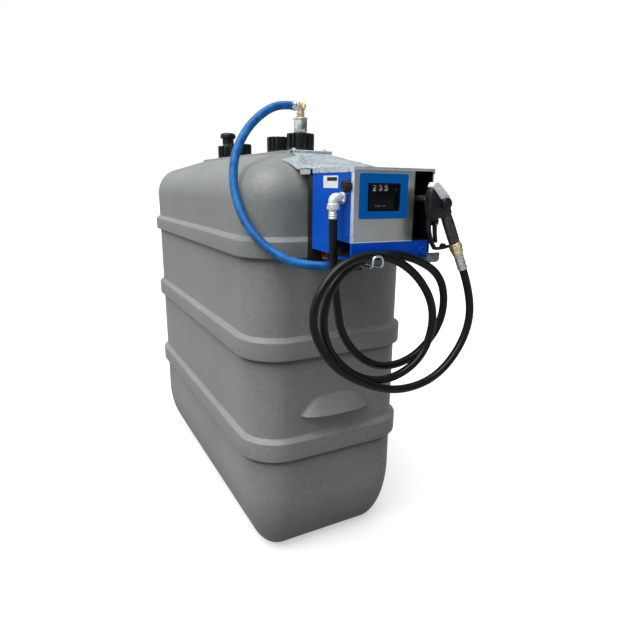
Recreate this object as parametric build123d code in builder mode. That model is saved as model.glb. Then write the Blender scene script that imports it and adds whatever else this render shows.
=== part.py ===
# Bunded diesel fuel tank with a pump dispenser on its front end.
# Units are mm. The origin is the centre of the tank's base on the ground, +Z is up,
# and the front end with the dispenser points to -Y.
from build123d import *
from math import acos, cos, degrees, radians, sin, sqrt, tan
import os

os.makedirs("parts", exist_ok=True)

# Driving dimensions of the moulded tank
body_w = 720
body_l = 1674
corner_r = 154
wall = 8
base_inset = 141
base_rise = 300
belt_out = 22
belt_low = (468, 575)
belt_mid = (916, 1012)
belt_top = (1307, 1391)
rim_z = 1352
shoulder_z = 1514
shoulder_in = 140
shoulder_up = 148
shoulder_turn = 73
slope_top = 1703
plateau_z = 1715
plateau_x = 125
plateau_y = body_l / 2 - 252
plateau_r = 50
grip_half = 158
grip_low = 655
grip_high = 737
grip_out = 40

# Driving dimensions of the inner tank, necks and caps
inner_gap = 75
inner_wall = 6
inner_top = 1655
inner_corner = 110
neck_r = 45
neck_bore = 39
neck_top = 1742
flange_r = 70
flange_t = 8
cap_r = 56
cap_h = 68
cap_rib = 5.5
cap_ribs = 14
cap_pitch_front = 215
cap_pitch_rear = 205
suction_y = 95 - plateau_y
vent_y = plateau_y - 135
cap_y = {"suction_cap": suction_y, "fill_cap": suction_y + cap_pitch_front, "dip_cap": vent_y - cap_pitch_rear, "vent_cap": vent_y}
cap_z = plateau_z + flange_t
cap_top = cap_z + cap_h
fitting_h = 66
fitting_top = cap_top + fitting_h
elbow_z = fitting_top + 43

# Driving dimensions of the dispenser
left_x = -157
right_x = 160
split_x = 80
tray_depth = 46
housing_depth = 275
rear_y = -body_l / 2 - belt_out - tray_depth
front_y = rear_y - housing_depth
roof_z = 1637
panel_low = 1400
apron_low = 1342
apron_end = right_x - 10
tray_half = right_x - 8
tray_low = 1300
side_low = 1355
sheet = 2
meter_x = (-107, 24)
meter_z = (1498, 1590)
knob_y = front_y + 22
knob_z = 1578
knob_r = 20
knob_out = 29
pin_r = 4
running = 0.05
outlet_x = -195
outlet_y = front_y + 60
outlet_z = 1540
union_z = 1504
ferrule_low = 1474
inlet_y = rear_y - 80
inlet_z = 1300
inlet_x = -125

# Driving dimensions of the hoses and the nozzle
hose_r = 14
suction_r = 17
nozzle_y = front_y - 60
grip_start = (162, 1503)
grip_dir = (0.455, -0.8905)
grip_len = 121
swivel_len = 47
ferrule_len = 57
lever_pin = (124, 1460)
lever_pin_r = 3
spout_at = (118, 1540)
spout_r = 12
hook_x = -106
hook_z = 1329
hook_r = 4
hook_half = 19

# Hose routes, with the depth of each point measured from the housing's front
delivery_shape = [
    (-195, 60, 1474), (-195, 60, 1392), (-185, 50, 1228), (-160, 42, 1065), (-27, 33, 945), (140, 24, 959),
    (261, 14, 1092), (234, -4, 1263), (79, -20, 1350), (-84, -20, 1370), (-244, -22, 1296),
    (-285, -26, 1122), (-192, -30, 979), (-33, -34, 914), (130, -39, 981), (174, -43, 1152),
    (75, -50, 1297), (-74, -52, 1375), (-245, -55, 1349), (-345, -57, 1198), (-276, -58, 1038),
    (-141, -59, 941), (16, -60, 885), (185, -60, 910), (304, -60, 1034), (326, -60, 1182),
    (264.5, -60, 1302.4)]
delivery_route = [(x, front_y + y, z) for x, y, z in delivery_shape]
suction_shape = [
    (-200, 644, 1851), (-287, 587, 1780), (-351, 539, 1689), (-379, 489, 1582), (-376, 428, 1478), (-344, 352, 1389),
    (-276, 278, 1321)]
suction_exit = [(-44, suction_y, elbow_z), (-104, suction_y, elbow_z)]
suction_entry = [(-185, inlet_y, inlet_z), (inlet_x, inlet_y, inlet_z)]
suction_route = suction_exit + [(x, front_y + y, z) for x, y, z in suction_shape] + suction_entry


def length(a, b):
    return sqrt(sum((q - p) ** 2 for p, q in zip(a, b)))


def turn(a, b, c):
    u = [q - p for p, q in zip(a, b)]
    v = [q - p for p, q in zip(b, c)]
    dot = sum(p * q for p, q in zip(u, v)) / (length(a, b) * length(b, c))
    return degrees(acos(min(1, dot)))


def route_radii(points):
    radii = []
    for a, b, c in zip(points, points[1:], points[2:]):
        run = min(length(a, b), length(b, c))
        radii.append(0.45 * run / tan(radians(turn(a, b, c) / 2)))
    return radii


def ring_path(w, l, r):
    with BuildLine() as ring:
        a = Line((-w / 2, 0), (-w / 2, l / 2 - r))
        b = JernArc(a @ 1, a % 1, r, -90)
        c = Line(b @ 1, (w / 2 - r, l / 2))
        d = JernArc(c @ 1, c % 1, r, -90)
        e = Line(d @ 1, (w / 2, -l / 2 + r))
        f = JernArc(e @ 1, e % 1, r, -90)
        g = Line(f @ 1, (-w / 2 + r, -l / 2))
        h = JernArc(g @ 1, g % 1, r, -90)
        Line(h @ 1, (-w / 2, 0))
    return ring.wire()


def box(x, y, z):
    with BuildPart() as made:
        with Locations(((x[0] + x[1]) / 2, (y[0] + y[1]) / 2, z[0])):
            Box(x[1] - x[0], y[1] - y[0], z[1] - z[0], align=(Align.CENTER, Align.CENTER, Align.MIN))
    return made.part


def save(part, name):
    part.label = name
    export_step(part, "parts/" + name + ".step")
    solids = len(part.solids())
    print(name, "solids", solids, "volume", round(part.volume), "valid", part.is_valid)


outer_path = ring_path(body_w, body_l, corner_r)
wall_plane = Plane(origin=(-body_w / 2, 0, 0), x_dir=(-1, 0, 0), z_dir=(0, 1, 0))
inner_rise = base_rise - wall


# A belt in section, from its lower edge up to the end of its chamfer
def belt_points(low, high, out):
    return [(out - belt_out, low), (out, low + 3), (out, high - 0.32 * (high - low)), (out - belt_out, high)]


# Bund shell, the moulded outer wall with two hollow belts and a grip at each end
with BuildPart() as bund_shell:
    with BuildSketch(wall_plane):
        with BuildLine():
            EllipticalCenterArc((-base_inset, base_rise), base_inset, base_rise, 270, arc_size=90)
            outside = belt_points(*belt_low, belt_out) + belt_points(*belt_mid, belt_out)
            Polyline((0, base_rise), *outside, (0, rim_z), (-wall, rim_z))
            inside = belt_points(*belt_mid, belt_out - wall) + belt_points(*belt_low, belt_out - wall)
            upper = [(-wall, belt_mid[1]), (belt_out - wall, belt_mid[1] - 33), (belt_out - wall, belt_mid[0] + 10)]
            lower = [(-wall, belt_low[1]), (belt_out - wall, belt_low[1] - 36), (belt_out - wall, belt_low[0] + 10)]
            back = upper + [(-wall, belt_mid[0] + 8)] + lower + [(-wall, belt_low[0] + 8)]
            Polyline((-wall, rim_z), *back, (-wall, base_rise))
            EllipticalCenterArc((-base_inset - wall, base_rise), base_inset, inner_rise, 270, arc_size=90)
            Polyline((-base_inset - wall, wall), (-base_inset - wall, 0), (-base_inset, 0))
        make_face()
    sweep(path=outer_path)
    flat_w = body_w - 2 * base_inset - 2 * wall + 6
    flat_l = body_l - 2 * base_inset - 2 * wall + 6
    with BuildSketch(Plane.XY):
        RectangleRounded(flat_w, flat_l, 6)
    extrude(amount=wall)
    for end in (-1, 1):
        face_y = end * body_l / 2
        deep = face_y - end * 4
        tip = face_y + end * grip_out
        with BuildSketch(Plane.XY.offset(grip_low)) as low_lens:
            with BuildLine():
                ThreePointArc((-grip_half, deep), (0, tip), (grip_half, deep))
                Line((grip_half, deep), (-grip_half, deep))
            make_face()
        with BuildSketch(Plane.XY.offset(grip_high)) as high_lens:
            with BuildLine():
                ThreePointArc((-grip_half * 0.8, deep), (0, deep + end * 5), (grip_half * 0.8, deep))
                Line((grip_half * 0.8, deep), (-grip_half * 0.8, deep))
            make_face()
        loft()
save(bund_shell.part, "bund_shell")

# Bund roof, the domed lid whose belt laps over the rim of the shell
arc_in = shoulder_in * (1 - cos(radians(shoulder_turn)))
arc_z = shoulder_z + shoulder_up * sin(radians(shoulder_turn))
under_in = wall + (shoulder_in - wall) * (1 - cos(radians(shoulder_turn)))
under_z = shoulder_z + (shoulder_up - wall) * sin(radians(shoulder_turn))
lap_in = under_in + 5


def slope_sketch(inset, z):
    with BuildSketch(Plane.XY.offset(z)) as made:
        RectangleRounded(body_w - 2 * inset, body_l - 2 * inset, corner_r - inset)
    return made.sketch


def plateau_sketch(inset, z):
    with BuildSketch(Plane.XY.offset(z)) as made:
        RectangleRounded(2 * (plateau_x - inset), 2 * (plateau_y - inset), plateau_r - inset)
    return made.sketch


with BuildPart() as bund_roof:
    low, high = belt_top
    with BuildSketch(wall_plane):
        with BuildLine():
            skirt = [(-wall, rim_z), (0, rim_z), (0, low), (belt_out, low + 2), (belt_out, high - 26)]
            Polyline(*skirt, (0, high), (0, shoulder_z))
            EllipticalCenterArc((-shoulder_in, shoulder_z), shoulder_in, shoulder_up, 0, arc_size=shoulder_turn)
            Polyline((-arc_in, arc_z), (-lap_in, arc_z), (-lap_in, under_z), (-under_in, under_z))
            EllipticalCenterArc((-shoulder_in, shoulder_z), shoulder_in - wall, shoulder_up - wall, 0, arc_size=shoulder_turn)
            Line((-wall, shoulder_z), (-wall, rim_z))
        make_face()
    sweep(path=outer_path)
    add(slope_sketch(arc_in, arc_z))
    add(plateau_sketch(0, slope_top))
    loft()
    add(slope_sketch(lap_in, arc_z - wall))
    add(plateau_sketch(4, slope_top - wall))
    loft(mode=Mode.SUBTRACT)
    add(plateau_sketch(0, slope_top))
    add(plateau_sketch(6, plateau_z))
    loft()
    with BuildSketch(Plane.XY.offset(slope_top - wall - 1)):
        RectangleRounded(2 * (plateau_x - 12), 2 * (plateau_y - 12), plateau_r - 12)
    extrude(amount=plateau_z - slope_top + 1, mode=Mode.SUBTRACT)
    with Locations([(0, y, plateau_z) for y in cap_y.values()]):
        Cylinder(neck_r + 0.3, 60, mode=Mode.SUBTRACT)
save(bund_roof.part, "bund_roof")

# Inner tank with its four filler necks, closed in by the bund
with BuildPart() as inner_tank:
    with BuildSketch(Plane.XY.offset(wall)):
        RectangleRounded(body_w - 2 * inner_gap, body_l - 2 * inner_gap, inner_corner)
    extrude(amount=inner_top - wall)
    edges_flat = bund_edges = inner_tank.faces().sort_by(Axis.Z)
    fillet(edges_flat[0].edges() + edges_flat[-1].edges(), inner_corner - 10)
    with Locations([(0, y, inner_top - 10) for y in cap_y.values()]):
        Cylinder(neck_r, neck_top - inner_top + 10, align=(Align.CENTER, Align.CENTER, Align.MIN))
with BuildPart() as inner_space:
    with BuildSketch(Plane.XY.offset(wall + inner_wall)):
        span = 2 * inner_gap + 2 * inner_wall
        RectangleRounded(body_w - span, body_l - span, inner_corner - inner_wall)
    extrude(amount=inner_top - wall - 2 * inner_wall)
    flats = inner_space.faces().sort_by(Axis.Z)
    fillet(flats[0].edges() + flats[-1].edges(), inner_corner - 10 - inner_wall)
    with Locations([(0, y, inner_top - 20) for y in cap_y.values()]):
        Cylinder(neck_bore, neck_top - inner_top + 40, align=(Align.CENTER, Align.CENTER, Align.MIN))
with BuildPart() as inner_shell:
    add(inner_tank.part)
    add(inner_space.part, mode=Mode.SUBTRACT)
save(inner_shell.part, "inner_tank")

# Flange rings under the caps
with BuildPart() as neck_flanges:
    with Locations([(0, y, plateau_z) for y in cap_y.values()]):
        Cylinder(flange_r, flange_t, align=(Align.CENTER, Align.CENTER, Align.MIN))
        Cylinder(neck_r + 0.3, flange_t, align=(Align.CENTER, Align.CENTER, Align.MIN), mode=Mode.SUBTRACT)
save(neck_flanges.part, "neck_flanges")

# Screw caps with ribbed sides
for cap_name, y in cap_y.items():
    with BuildPart() as cap:
        with Locations((0, y, cap_z)):
            Cylinder(cap_r, cap_h, align=(Align.CENTER, Align.CENTER, Align.MIN))
        fillet(cap.faces().sort_by(Axis.Z)[-1].edges(), 5)
        with Locations((0, y, cap_z + 4)):
            with PolarLocations(cap_r, cap_ribs):
                Box(2 * cap_rib, 6, cap_h - 14, align=(Align.CENTER, Align.CENTER, Align.MIN))
        with Locations((0, y, cap_z)):
            Cylinder(neck_r + 0.3, neck_top - cap_z, align=(Align.CENTER, Align.CENTER, Align.MIN), mode=Mode.SUBTRACT)
    save(cap.part, cap_name)

# Vent mushroom on the rear cap
with BuildPart() as vent:
    with Locations((0, vent_y, cap_top)):
        Cylinder(31, 40, align=(Align.CENTER, Align.CENTER, Align.MIN))
    with Locations((0, vent_y, cap_top + 38)):
        Cylinder(43, 34, align=(Align.CENTER, Align.CENTER, Align.MIN))
    fillet(vent.faces().sort_by(Axis.Z)[-1].edges(), 10)
save(vent.part, "vent_mushroom")

# Suction fitting, brass elbow and ferrule on the front cap
with BuildPart() as suction_fitting:
    with Locations((0, suction_y, cap_top)):
        Cylinder(29, fitting_h - 16, align=(Align.CENTER, Align.CENTER, Align.MIN))
        with Locations((0, 0, fitting_h - 16)):
            Cone(29, 18, 16, align=(Align.CENTER, Align.CENTER, Align.MIN))
save(suction_fitting.part, "suction_fitting")
with BuildPart() as suction_elbow:
    with BuildLine() as elbow_line:
        FilletPolyline((0, suction_y, fitting_top), (0, suction_y, elbow_z), (-22, suction_y, elbow_z), radius=16)
    with BuildSketch(Plane((0, suction_y, fitting_top))):
        Circle(15)
    sweep(path=elbow_line.wire())
    with Locations((0, suction_y, fitting_top)):
        Cylinder(18, 10, align=(Align.CENTER, Align.CENTER, Align.MIN))
save(suction_elbow.part, "suction_elbow")
with BuildPart() as suction_ferrule:
    with BuildSketch(Plane.YZ.offset(-22)):
        with Locations((suction_y, elbow_z)):
            Circle(20)
    extrude(amount=-22)
save(suction_ferrule.part, "suction_ferrule")


def cord(points, radius, label):
    radii = route_radii(points)
    print(label, "arc radii", [round(r) for r in radii])
    with BuildPart() as tube:
        with BuildLine() as line:
            FilletPolyline(*points, radius=radii)
        wire = line.wire()
        with BuildSketch(Plane(origin=points[0], z_dir=wire % 0)):
            Circle(radius)
        sweep(path=wire)
    print(label, "length", round(wire.length), "section volume", round(wire.length * 3.14159 * radius ** 2))
    save(tube.part, label)


cord(suction_route, suction_r, "suction_hose")
cord(delivery_route, hose_r, "delivery_hose")

# Bracket of galvanised sheet from the plateau down to the dispenser
bracket_t = 3
shelf_z = roof_z - bracket_t
tab_y = suction_y - flange_r
tab_half = 91
flare_half = 182
shelf_half = 165
with BuildPart() as bracket_plate:
    with BuildSketch(Plane.YZ.offset(-flare_half)):
        with BuildLine():
            fold_y = tab_y - 39
            tab = [(tab_y, plateau_z), (fold_y, plateau_z), (fold_y, slope_top + 0.5)]
            slope = [(rear_y + 210, shelf_z + 35.5), (rear_y + 155, shelf_z + 21), (rear_y + 105, shelf_z), (rear_y + 7, shelf_z)]
            tab_over = [(fold_y - bracket_t, slope_top + bracket_t), (fold_y - bracket_t, plateau_z + bracket_t)]
            over = [(y, z + bracket_t) for y, z in reversed(slope)]
            Polyline(*tab, *slope, *over, *tab_over, (tab_y, plateau_z + bracket_t), close=True)
        make_face()
    extrude(amount=2 * flare_half)
    with BuildSketch(Plane.XY.offset(shelf_z - 30)):
        with BuildLine():
            half = [(tab_half, tab_y), (tab_half, tab_y - 80), (flare_half, tab_y - 132), (shelf_half, rear_y + 105)]
            half = half + [(shelf_half, rear_y + 7)]
            Polyline(*half, *[(-x, y) for x, y in reversed(half)], close=True)
        make_face()
    extrude(amount=150, mode=Mode.INTERSECT)
    for side in (-1, 1):
        with Locations((side * (shelf_half - bracket_t / 2), rear_y + 48, shelf_z + bracket_t)):
            Box(bracket_t, 82, 21, align=(Align.CENTER, Align.CENTER, Align.MAX))
    with Locations((-70, tab_y - 13, plateau_z), (70, tab_y - 13, plateau_z)):
        Cylinder(5, 20, mode=Mode.SUBTRACT)
save(bracket_plate.part, "bracket_plate")

# Black rear tray that hangs under the bracket shelf and carries the housing
with BuildPart() as rear_plate:
    tray_y = rear_y + tray_depth
    add(box((-tray_half, tray_half), (rear_y, tray_y), (tray_low, shelf_z)))
    inside_x = tray_half - 2.5
    add(box((-inside_x, inside_x), (rear_y + 2.5, tray_y + 10), (tray_low + 2.5, shelf_z - 2.5)), mode=Mode.SUBTRACT)
save(rear_plate.part, "rear_plate")

# Housing sheets
roof_low = roof_z - 1.5
with BuildPart() as dispenser_roof:
    add(box((left_x - 1.5, right_x + 1.5), (front_y - 1.5, rear_y), (roof_low, roof_z)))
    add(box((left_x - 1.5, left_x), (front_y - 1.5, rear_y), (roof_z - 17, roof_z)))
    add(box((right_x, right_x + 1.5), (front_y - 1.5, rear_y), (roof_z - 17, roof_z)))
save(dispenser_roof.part, "dispenser_roof")

with BuildPart() as side_left:
    with BuildSketch(Plane.YZ.offset(left_x)):
        with BuildLine():
            notch = [(rear_y - 150, side_low - 3), (rear_y - 153, 1404), (front_y + 16, 1399)]
            outline = [(rear_y, side_low)] + notch + [(front_y + 16, roof_low)]
            Polyline(*outline, (rear_y, roof_low), close=True)
        make_face()
    extrude(amount=sheet)
    add(box((left_x, left_x + 14), (rear_y - 2, rear_y), (side_low, roof_low)))
    with Locations(Plane.YZ.offset(left_x)):
        with Locations((knob_y, knob_z)):
            Cylinder(pin_r + running, 20, mode=Mode.SUBTRACT)
save(side_left.part, "side_panel_left")

with BuildPart() as side_right:
    add(box((right_x - sheet, right_x), (front_y + 2, rear_y), (side_low, roof_low)))
    add(box((right_x - 14, right_x), (rear_y - 2, rear_y), (side_low, roof_low)))
save(side_right.part, "side_panel_right")

with BuildPart() as front_panel:
    add(box((left_x, split_x), (front_y, front_y + 16), (panel_low, roof_low)))
    inner_box = box((left_x + 1.5, split_x - 1.5), (front_y + 1.5, front_y + 60), (panel_low + 1.5, roof_low - 1.5))
    add(inner_box, mode=Mode.SUBTRACT)
    add(box(meter_x, (front_y - 5, front_y + 10), meter_z), mode=Mode.SUBTRACT)
save(front_panel.part, "front_panel")

with BuildPart() as apron:
    add(box((left_x, apron_end), (front_y, front_y + sheet), (apron_low, panel_low)))
    add(box((left_x, apron_end), (front_y, front_y + 120), (apron_low, apron_low + sheet)))
    add(box((left_x, left_x + sheet), (front_y, front_y + 14), (apron_low, panel_low)))
    add(box((apron_end - sheet, apron_end), (front_y, front_y + 60), (apron_low, panel_low - 2)))
save(apron.part, "apron")

# Meter with its frame, face and reset knob
with BuildPart() as meter_body:
    add(box((meter_x[0] + 0.3, meter_x[1] - 0.3), (front_y, front_y + 70), (meter_z[0] + 0.3, meter_z[1] - 0.3)))
save(meter_body.part, "meter_body")
with BuildPart() as meter_frame:
    with BuildSketch(Plane.XZ.offset(-front_y)):
        with Locations((-42, 1547)):
            RectangleRounded(190, 142, 8)
        with Locations(((meter_x[0] + meter_x[1]) / 2, (meter_z[0] + meter_z[1]) / 2)):
            Rectangle(meter_x[1] - meter_x[0] - 4, meter_z[1] - meter_z[0] - 4, mode=Mode.SUBTRACT)
    extrude(amount=1)
save(meter_frame.part, "meter_frame")
with BuildPart() as reset_knob:
    with BuildSketch(Plane.YZ.offset(left_x - 1)):
        with Locations((knob_y, knob_z)):
            Circle(knob_r - 1.5)
            with PolarLocations(knob_r - 1.5, 12):
                Circle(1.5)
    extrude(amount=-knob_out)
    with BuildSketch(Plane.YZ.offset(left_x - 1)):
        with Locations((knob_y, knob_z)):
            Circle(pin_r)
    extrude(amount=8)
save(reset_knob.part, "reset_knob")
with BuildPart() as label_plate:
    add(box((left_x - 0.5, left_x), (rear_y - 178, rear_y - 78), (knob_z - 8, knob_z + 33)))
save(label_plate.part, "label_plate")

# Pump, motor and pump inlet under the housing
with BuildPart() as pump_body:
    add(box((inlet_x + 7, -20), (front_y + 140, rear_y), (inlet_z - 16, inlet_z + 100)))
    with BuildSketch(Plane.YZ.offset(inlet_x + 7)):
        with Locations((inlet_y, inlet_z)):
            Circle(26)
    extrude(amount=40)
save(pump_body.part, "pump_body")
with BuildPart() as motor:
    with BuildSketch(Plane.YZ.offset(-20)):
        with Locations((rear_y - 70, 1400)):
            Circle(62)
    extrude(amount=150)
    add(box((30, 100), (rear_y - 115, rear_y), (1345, 1380)))
save(motor.part, "pump_motor")
with BuildPart() as pump_inlet:
    with BuildSketch(Plane.YZ.offset(inlet_x)):
        with Locations((inlet_y, inlet_z)):
            Circle(21)
    extrude(amount=7)
save(pump_inlet.part, "pump_inlet")

# Outlet elbow with its union ring and ferrule
with BuildPart() as outlet_elbow:
    with BuildLine() as outlet_line:
        low_end = (outlet_x, outlet_y, union_z + 10)
        FilletPolyline((left_x, outlet_y, outlet_z), (outlet_x, outlet_y, outlet_z), low_end, radius=22)
    with BuildSketch(Plane.YZ.offset(left_x)):
        with Locations((outlet_y, outlet_z)):
            Circle(17)
    sweep(path=outlet_line.wire())
    with BuildSketch(Plane.YZ.offset(left_x)):
        with Locations((outlet_y, outlet_z)):
            Circle(22)
    extrude(amount=-8)
save(outlet_elbow.part, "outlet_elbow")
with BuildPart() as union_ring:
    with Locations((outlet_x, outlet_y, union_z)):
        Cylinder(21, 10, align=(Align.CENTER, Align.CENTER, Align.MIN))
save(union_ring.part, "union_ring")
with BuildPart() as outlet_ferrule:
    with Locations((outlet_x, outlet_y, ferrule_low)):
        Cylinder(17, union_z - ferrule_low, align=(Align.CENTER, Align.CENTER, Align.MIN))
save(outlet_ferrule.part, "outlet_ferrule")

# Nozzle boot, hose hook and the galvanised rest below the nozzle
with BuildPart() as boot:
    back_y = front_y + 90
    add(box((split_x, right_x - sheet), (front_y, back_y), (panel_low, roof_low)))
    hollow = box((split_x + 2.5, right_x - sheet - 2.5), (front_y - 5, back_y - 2.5), (panel_low + 2.5, roof_low - 2.5))
    add(hollow, mode=Mode.SUBTRACT)
    with BuildSketch(Plane.XZ.offset(2.5 - back_y)):
        with Locations(spout_at):
            Circle(spout_r + 4)
    extrude(amount=46)
    with BuildSketch(Plane.XZ.offset(2.5 - back_y)):
        with Locations(spout_at):
            Circle(spout_r + 0.3)
    extrude(amount=46, mode=Mode.SUBTRACT)
save(boot.part, "nozzle_boot")
with BuildPart() as hook:
    x0, x1 = hook_x + hook_half, hook_x - hook_half
    zt = hook_z + 36
    with BuildLine() as hook_line:
        start = (x0, front_y + 60, hook_z)
        tip = front_y - 72
        bend = [(x0, tip, hook_z), (x0, tip, zt), (x1, tip, zt), (x1, tip, hook_z), (x1, front_y + 60, hook_z)]
        FilletPolyline(start, *bend, radius=14)
    with BuildSketch(Plane(origin=start, z_dir=(0, -1, 0))):
        Circle(hook_r)
    sweep(path=hook_line.wire())
    add(box((x1 - 12, x0 + 12), (front_y + 20, front_y + 70), (hook_z, apron_low)))
save(hook.part, "hose_hook")
with BuildPart() as rest:
    rest_z = (apron_low - 20, apron_low + 14)
    add(box((apron_end, apron_end + 58), (front_y, front_y + sheet), rest_z))
    add(box((apron_end, apron_end + sheet), (front_y, front_y + 50), rest_z))
save(rest.part, "nozzle_rest")


def on_grip(t):
    return (grip_start[0] + grip_dir[0] * t, nozzle_y, grip_start[1] + grip_dir[1] * t)


def grip_plane(t):
    return Plane(origin=on_grip(t), x_dir=(0, 1, 0), z_dir=(grip_dir[0], 0, grip_dir[1]))


# Nozzle, hung by its spout in the boot
nozzle_plane = Plane(origin=(0, nozzle_y, 0), x_dir=(1, 0, 0), z_dir=(0, -1, 0))
with BuildPart() as nozzle_body:
    with BuildSketch(nozzle_plane):
        with BuildLine():
            upper = [(84, 1545), (88, 1566), (95, 1579), (134, 1540), (166, 1539), (178, 1520), (188.9, 1494.3)]
            Polyline(*upper, (153.3, 1476.1), (134, 1479), (104, 1466), (91, 1490), (85, 1520), close=True)
        make_face()
    extrude(amount=17, both=True)
    with BuildSketch(nozzle_plane):
        with Locations(lever_pin):
            Circle(8)
        with Locations((lever_pin[0], lever_pin[1] + 9)):
            Rectangle(16, 18)
    extrude(amount=11, both=True)
    with BuildSketch(nozzle_plane):
        with Locations((lever_pin[0], lever_pin[1] - 2)):
            Rectangle(34, 36)
    extrude(amount=6.5, both=True, mode=Mode.SUBTRACT)
    with BuildSketch(nozzle_plane):
        with Locations(lever_pin):
            Circle(lever_pin_r)
    extrude(amount=11, both=True)
save(nozzle_body.part, "nozzle_body")
with BuildPart() as nozzle_cover:
    with BuildSketch(nozzle_plane):
        with BuildLine():
            Polyline((95, 1579), (104, 1595), (120, 1592), (172, 1548), (166, 1539), (134, 1540), close=True)
        make_face()
    extrude(amount=14, both=True)
save(nozzle_cover.part, "nozzle_cover")
with BuildPart() as nozzle_cap:
    with BuildSketch(nozzle_plane.offset(17)):
        with Locations((153, 1526)):
            Circle(20)
    extrude(amount=9)
save(nozzle_cap.part, "nozzle_cap")
with BuildPart() as nozzle_grip:
    with BuildSketch(grip_plane(20)):
        SlotOverall(40, 32, rotation=90)
    extrude(amount=grip_len - 20)
save(nozzle_grip.part, "nozzle_grip")
with BuildPart() as swivel:
    with BuildSketch(grip_plane(grip_len)):
        RegularPolygon(23, 6)
    extrude(amount=swivel_len)
save(swivel.part, "nozzle_swivel")
with BuildPart() as nozzle_ferrule:
    with BuildSketch(grip_plane(grip_len + swivel_len)):
        Circle(17)
    extrude(amount=ferrule_len)
save(nozzle_ferrule.part, "nozzle_ferrule")
with BuildPart() as spout:
    with BuildSketch(Plane.XZ.offset(-nozzle_y - 17)):
        with Locations(spout_at):
            Circle(spout_r)
    extrude(amount=-107)
save(spout.part, "nozzle_spout")
with BuildPart() as guard:
    with BuildSketch(nozzle_plane):
        with BuildLine() as guard_line:
            Polyline((100, 1481), (99, 1464), (101, 1436), (115, 1400), (131, 1378), (166, 1380), (203, 1388))
        trace(guard_line.line, line_width=8)
    extrude(amount=8, both=True)
    add(nozzle_body.part, mode=Mode.SUBTRACT)
    add(nozzle_grip.part, mode=Mode.SUBTRACT)
    add(swivel.part, mode=Mode.SUBTRACT)
save(guard.part, "nozzle_guard")
with BuildPart() as lever:
    with BuildSketch(nozzle_plane):
        with BuildLine() as lever_line:
            Polyline(lever_pin, (127, 1430), (132, 1402))
        trace(lever_line.line, line_width=11)
        with Locations(lever_pin):
            Circle(lever_pin_r + running, mode=Mode.SUBTRACT)
    extrude(amount=6, both=True)
save(lever.part, "nozzle_lever")
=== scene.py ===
import math

import bmesh
import bpy
from mathutils import Matrix, Vector


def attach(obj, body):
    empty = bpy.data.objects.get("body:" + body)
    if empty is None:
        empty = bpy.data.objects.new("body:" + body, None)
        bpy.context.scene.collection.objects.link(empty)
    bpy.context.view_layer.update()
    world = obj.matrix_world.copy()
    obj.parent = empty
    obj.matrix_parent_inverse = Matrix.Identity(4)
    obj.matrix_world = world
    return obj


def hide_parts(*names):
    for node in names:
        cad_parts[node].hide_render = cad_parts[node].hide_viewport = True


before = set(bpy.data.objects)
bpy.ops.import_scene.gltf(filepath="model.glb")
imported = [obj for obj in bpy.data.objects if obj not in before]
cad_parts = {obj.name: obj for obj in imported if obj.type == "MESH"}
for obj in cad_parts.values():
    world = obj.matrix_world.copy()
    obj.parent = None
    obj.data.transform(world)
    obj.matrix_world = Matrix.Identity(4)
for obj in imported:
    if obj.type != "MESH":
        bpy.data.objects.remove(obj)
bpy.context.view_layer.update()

Y = Vector((0, 1, 0))
pi, sin, cos, radians = math.pi, math.sin, math.cos, math.radians


def in_scene(name, data):
    made = bpy.data.objects.new(name, data)
    bpy.context.scene.collection.objects.link(made)
    return made


# Camera, solved from the tank's edges in the photograph
yaw, pitch, roll = radians(28.753), radians(14.56), radians(0.83)
ahead = Vector((sin(yaw) * cos(pitch), cos(yaw) * cos(pitch), -sin(pitch)))
right = Vector((cos(yaw), -sin(yaw), 0))
above = right.cross(ahead)
cam_x = cos(roll) * right + sin(roll) * above
cam_y = -sin(roll) * right + cos(roll) * above
camera_data = bpy.data.cameras.new("camera")
camera = in_scene("camera", camera_data)
turned = Matrix((cam_x, cam_y, -ahead)).transposed().to_4x4()
camera.matrix_world = Matrix.Translation((-1.0405, -2.5835, 1.5777)) @ turned
camera_data.sensor_width = 36
camera_data.lens = 29.1
bpy.context.scene.camera = camera


# Mesh helpers: shapes are drawn in millimetres and piece() turns them into metres
MM = 0.001
BEVEL_ANGLE, FLAT_ANGLE = 0.35, 0.01  # radians: sharper edges get a bevel, flatter ones go
AXIS = 1e-4  # a smaller radius is a point on the axis


RIGHT, BACK, UP, LEFT, FRONT = (1, 0, 0), (0, 1, 0), (0, 0, 1), (-1, 0, 0), (0, -1, 0)


def moved(x, y, z):
    return Matrix.Translation((x, y, z))


def aim(origin, x_dir, z_dir):
    z = Vector(z_dir).normalized()
    x = Vector(x_dir)
    x = (x - z * x.dot(z)).normalized()
    return Matrix.Translation(origin) @ Matrix((x, z.cross(x), z)).transposed().to_4x4()


# Drawn looking along +Y at the XZ plane, depth grows toward -Y
def facing(y):
    return aim((0, y, 0), RIGHT, FRONT)


# Drawn looking along -X at the YZ plane, depth grows toward -X
def beside(x):
    return Matrix(((0, 0, -1, x), (1, 0, 0, 0), (0, 1, 0, 0), (0, 0, 0, 1)))


def outward(bm):
    bmesh.ops.recalc_face_normals(bm, faces=bm.faces)
    return bm


def look_layer(bm):
    return bm.faces.layers.int.get("mat") or bm.faces.layers.int.new("mat")


# Gives all faces the look with this number in the piece's list
def tint(bm, number):
    layer = look_layer(bm)
    for f in bm.faces:
        f[layer] = number
    return bm


def pour(target, source, at=None):
    if at is not None:
        source.transform(at)
    read, write = look_layer(source), look_layer(target)
    source.verts.index_update()
    made = [target.verts.new(v.co) for v in source.verts]
    for f in source.faces:
        target.faces.new([made[v.index] for v in f.verts])[write] = f[read]
    source.free()


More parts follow.
